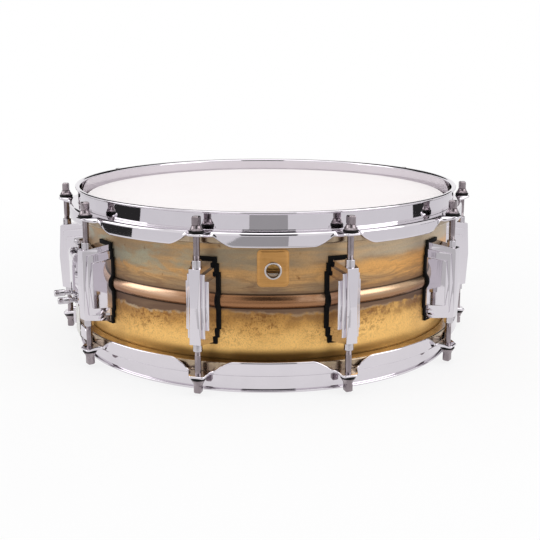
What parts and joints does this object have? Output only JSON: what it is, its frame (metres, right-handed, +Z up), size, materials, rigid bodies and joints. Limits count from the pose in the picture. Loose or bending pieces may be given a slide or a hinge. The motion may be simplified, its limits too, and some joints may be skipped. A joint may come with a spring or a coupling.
{
  "type": "snare drum",
  "caption": "Snare drum with a beaded raw brass shell, stepped chrome lugs, triple-flanged hoops, a coated batter head and a throw-off strainer for its snare wires.",
  "frame": {"origin": "on the drum's axis, in the plane of the lower rim that it stands on", "axes": "+Z up along the drum's axis, -Y towards the vent and its plate, +X to the right seen from the vent"},
  "size_m": [0.4094, 0.3914, 0.15],
  "materials": {
    "raw_brass": "raw, patinated, streaked",
    "plate_brass": "brushed",
    "coated_film": "sprayed coating",
    "clear_film": "hazy clear",
    "flesh_aluminium": "mill",
    "chrome": "polished",
    "plated_steel": "plated",
    "gasket_rubber": "matte",
    "washer_nylon": "satin",
    "strap_film": "satin",
    "snare_steel": "bright wire"
  },
  "bodies": {
    "drum": {"shell": "raw_brass", "vent_plate": "plate_brass", "vent_grommet": "plated_steel", "batter_head": "coated_film", "batter_flesh_hoop": "flesh_aluminium", "snare_head": "clear_film", "snare_flesh_hoop": "flesh_aluminium", "lug_1": "chrome", "lug_2": "chrome", "lug_3": "chrome", "lug_4": "chrome", "lug_5": "chrome", "lug_6": "chrome", "lug_7": "chrome", "lug_8": "chrome", "lug_9": "chrome", "lug_10": "chrome", "lug_gaskets": "gasket_rubber", "swivel_nuts": "plated_steel", "lug_screws": "plated_steel", "mount_screws": "plated_steel", "strainer_base": "chrome", "lever_pivot_pin": "plated_steel", "butt_base": "chrome", "butt_clamp_plate": "chrome", "butt_screws": "plated_steel", "butt_strap": "strap_film"},
    "batter_hoop": {"batter_hoop": "chrome", "batter_washers": "washer_nylon"},
    "snare_hoop": {"snare_hoop": "chrome", "snare_washers": "washer_nylon"},
    "batter_rod_1": {"batter_rod_1": "plated_steel"},
    "batter_rod_2": {"batter_rod_2": "plated_steel"},
    "batter_rod_3": {"batter_rod_3": "plated_steel"},
    "batter_rod_4": {"batter_rod_4": "plated_steel"},
    "batter_rod_5": {"batter_rod_5": "plated_steel"},
    "batter_rod_6": {"batter_rod_6": "plated_steel"},
    "batter_rod_7": {"batter_rod_7": "plated_steel"},
    "batter_rod_8": {"batter_rod_8": "plated_steel"},
    "batter_rod_9": {"batter_rod_9": "plated_steel"},
    "batter_rod_10": {"batter_rod_10": "plated_steel"},
    "snare_rod_1": {"snare_rod_1": "plated_steel"},
    "snare_rod_2": {"snare_rod_2": "plated_steel"},
    "snare_rod_3": {"snare_rod_3": "plated_steel"},
    "snare_rod_4": {"snare_rod_4": "plated_steel"},
    "snare_rod_5": {"snare_rod_5": "plated_steel"},
    "snare_rod_6": {"snare_rod_6": "plated_steel"},
    "snare_rod_7": {"snare_rod_7": "plated_steel"},
    "snare_rod_8": {"snare_rod_8": "plated_steel"},
    "snare_rod_9": {"snare_rod_9": "plated_steel"},
    "snare_rod_10": {"snare_rod_10": "plated_steel"},
    "lever": {"throw_off_lever": "chrome"},
    "carriage": {"carriage": "plated_steel"},
    "knob": {"tension_knob": "plated_steel"},
    "clamp": {"clamp_block": "chrome", "clamp_plate": "chrome", "clamp_screws": "plated_steel", "strainer_strap": "strap_film"},
    "snares": {"snare_wires": "snare_steel", "snare_end_plates": "plate_brass"}
  },
  "joints": [
    {"name": "batter_tuning", "type": "slide", "parent": "drum", "child": "batter_hoop", "axis": [0, 0, 1], "range_m": [0, 0.003]},
    {"name": "snare_side_tuning", "type": "slide", "parent": "drum", "child": "snare_hoop", "axis": [0, 0, -1], "range_m": [0, 0.003]},
    {"name": "batter_rod_1_turn", "type": "hinge", "parent": "batter_hoop", "child": "batter_rod_1", "pos_m": [0.06072, -0.18688, 0.13635], "axis": [0, 0, 1], "range_deg": [0, 1021]},
    {"name": "snare_rod_1_turn", "type": "hinge", "parent": "snare_hoop", "child": "snare_rod_1", "pos_m": [0.06072, -0.18688, 0.01365], "axis": [0, 0, -1], "range_deg": [0, 1021]},
    {"name": "batter_rod_2_turn", "type": "hinge", "parent": "batter_hoop", "child": "batter_rod_2", "pos_m": [0.15897, -0.1155, 0.13635], "axis": [0, 0, 1], "range_deg": [0, 1021]},
    {"name": "snare_rod_2_turn", "type": "hinge", "parent": "snare_hoop", "child": "snare_rod_2", "pos_m": [0.15897, -0.1155, 0.01365], "axis": [0, 0, -1], "range_deg": [0, 1021]},
    {"name": "batter_rod_3_turn", "type": "hinge", "parent": "batter_hoop", "child": "batter_rod_3", "pos_m": [0.1965, 0, 0.13635], "axis": [0, 0, 1], "range_deg": [0, 1021]},
    {"name": "snare_rod_3_turn", "type": "hinge", "parent": "snare_hoop", "child": "snare_rod_3", "pos_m": [0.1965, 0, 0.01365], "axis": [0, 0, -1], "range_deg": [0, 1021]},
    {"name": "batter_rod_4_turn", "type": "hinge", "parent": "batter_hoop", "child": "batter_rod_4", "pos_m": [0.15897, 0.1155, 0.13635], "axis": [0, 0, 1], "range_deg": [0, 1021]},
    {"name": "snare_rod_4_turn", "type": "hinge", "parent": "snare_hoop", "child": "snare_rod_4", "pos_m": [0.15897, 0.1155, 0.01365], "axis": [0, 0, -1], "range_deg": [0, 1021]},
    {"name": "batter_rod_5_turn", "type": "hinge", "parent": "batter_hoop", "child": "batter_rod_5", "pos_m": [0.06072, 0.18688, 0.13635], "axis": [0, 0, 1], "range_deg": [0, 1021]},
    {"name": "snare_rod_5_turn", "type": "hinge", "parent": "snare_hoop", "child": "snare_rod_5", "pos_m": [0.06072, 0.18688, 0.01365], "axis": [0, 0, -1], "range_deg": [0, 1021]},
    {"name": "batter_rod_6_turn", "type": "hinge", "parent": "batter_hoop", "child": "batter_rod_6", "pos_m": [-0.06072, 0.18688, 0.13635], "axis": [0, 0, 1], "range_deg": [0, 1021]},
    {"name": "snare_rod_6_turn", "type": "hinge", "parent": "snare_hoop", "child": "snare_rod_6", "pos_m": [-0.06072, 0.18688, 0.01365], "axis": [0, 0, -1], "range_deg": [0, 1021]},
    {"name": "batter_rod_7_turn", "type": "hinge", "parent": "batter_hoop", "child": "batter_rod_7", "pos_m": [-0.15897, 0.1155, 0.13635], "axis": [0, 0, 1], "range_deg": [0, 1021]},
    {"name": "snare_rod_7_turn", "type": "hinge", "parent": "snare_hoop", "child": "snare_rod_7", "pos_m": [-0.15897, 0.1155, 0.01365], "axis": [0, 0, -1], "range_deg": [0, 1021]},
    {"name": "batter_rod_8_turn", "type": "hinge", "parent": "batter_hoop", "child": "batter_rod_8", "pos_m": [-0.1965, 0, 0.13635], "axis": [0, 0, 1], "range_deg": [0, 1021]},
    {"name": "snare_rod_8_turn", "type": "hinge", "parent": "snare_hoop", "child": "snare_rod_8", "pos_m": [-0.1965, 0, 0.01365], "axis": [0, 0, -1], "range_deg": [0, 1021]},
    {"name": "batter_rod_9_turn", "type": "hinge", "parent": "batter_hoop", "child": "batter_rod_9", "pos_m": [-0.15897, -0.1155, 0.13635], "axis": [0, 0, 1], "range_deg": [0, 1021]},
    {"name": "snare_rod_9_turn", "type": "hinge", "parent": "snare_hoop", "child": "snare_rod_9", "pos_m": [-0.15897, -0.1155, 0.01365], "axis": [0, 0, -1], "range_deg": [0, 1021]},
    {"name": "batter_rod_10_turn", "type": "hinge", "parent": "batter_hoop", "child": "batter_rod_10", "pos_m": [-0.06072, -0.18688, 0.13635], "axis": [0, 0, 1], "range_deg": [0, 1021]},
    {"name": "snare_rod_10_turn", "type": "hinge", "parent": "snare_hoop", "child": "snare_rod_10", "pos_m": [-0.06072, -0.18688, 0.01365], "axis": [0, 0, -1], "range_deg": [0, 1021]},
    {"name": "throw_off", "type": "hinge", "parent": "drum", "child": "lever", "pos_m": [-0.17975, -0.0584, 0.088], "axis": [-0.309, 0.9511, 0], "range_deg": [0, 90]},
    {"name": "carriage_drop", "type": "slide", "parent": "drum", "child": "carriage", "axis": [0, 0, -1], "range_m": [0, 0.00708], "deforming": ["strainer_strap"]},
    {"name": "clamp_travel", "type": "slide", "parent": "carriage", "child": "clamp", "axis": [0, 0, -1], "range_m": [0, 0.003], "deforming": ["strainer_strap"]},
    {"name": "tension_turn", "type": "hinge", "parent": "carriage", "child": "knob", "pos_m": [-0.17466, -0.05675, 0.101], "axis": [0, 0, 1], "range_deg": [0, 1081]},
    {"name": "snare_drop", "type": "hinge", "parent": "drum", "child": "snares", "pos_m": [0.15978, 0.05192, 0.0098], "axis": [0.309, -0.9511, 0], "range_deg": [0, 1.21], "deforming": ["butt_strap"]}
  ],
  "couplings": [
    {"joint": "batter_rod_1_turn", "follows": "batter_tuning", "rad_per_m": 5936.9},
    {"joint": "snare_rod_1_turn", "follows": "snare_side_tuning", "rad_per_m": 5936.9},
    {"joint": "batter_rod_2_turn", "follows": "batter_tuning", "rad_per_m": 5936.9},
    {"joint": "snare_rod_2_turn", "follows": "snare_side_tuning", "rad_per_m": 5936.9},
    {"joint": "batter_rod_3_turn", "follows": "batter_tuning", "rad_per_m": 5936.9},
    {"joint": "snare_rod_3_turn", "follows": "snare_side_tuning", "rad_per_m": 5936.9},
    {"joint": "batter_rod_4_turn", "follows": "batter_tuning", "rad_per_m": 5936.9},
    {"joint": "snare_rod_4_turn", "follows": "snare_side_tuning", "rad_per_m": 5936.9},
    {"joint": "batter_rod_5_turn", "follows": "batter_tuning", "rad_per_m": 5936.9},
    {"joint": "snare_rod_5_turn", "follows": "snare_side_tuning", "rad_per_m": 5936.9},
    {"joint": "batter_rod_6_turn", "follows": "batter_tuning", "rad_per_m": 5936.9},
    {"joint": "snare_rod_6_turn", "follows": "snare_side_tuning", "rad_per_m": 5936.9},
    {"joint": "batter_rod_7_turn", "follows": "batter_tuning", "rad_per_m": 5936.9},
    {"joint": "snare_rod_7_turn", "follows": "snare_side_tuning", "rad_per_m": 5936.9},
    {"joint": "batter_rod_8_turn", "follows": "batter_tuning", "rad_per_m": 5936.9},
    {"joint": "snare_rod_8_turn", "follows": "snare_side_tuning", "rad_per_m": 5936.9},
    {"joint": "batter_rod_9_turn", "follows": "batter_tuning", "rad_per_m": 5936.9},
    {"joint": "snare_rod_9_turn", "follows": "snare_side_tuning", "rad_per_m": 5936.9},
    {"joint": "batter_rod_10_turn", "follows": "batter_tuning", "rad_per_m": 5936.9},
    {"joint": "snare_rod_10_turn", "follows": "snare_side_tuning", "rad_per_m": 5936.9},
    {"joint": "carriage_drop", "follows": "throw_off", "m_per_rad": 0.0045016},
    {"joint": "tension_turn", "follows": "clamp_travel", "rad_per_m": 6283.2},
    {"joint": "snare_drop", "follows": "throw_off", "ratio": 0.013333}
  ]
}
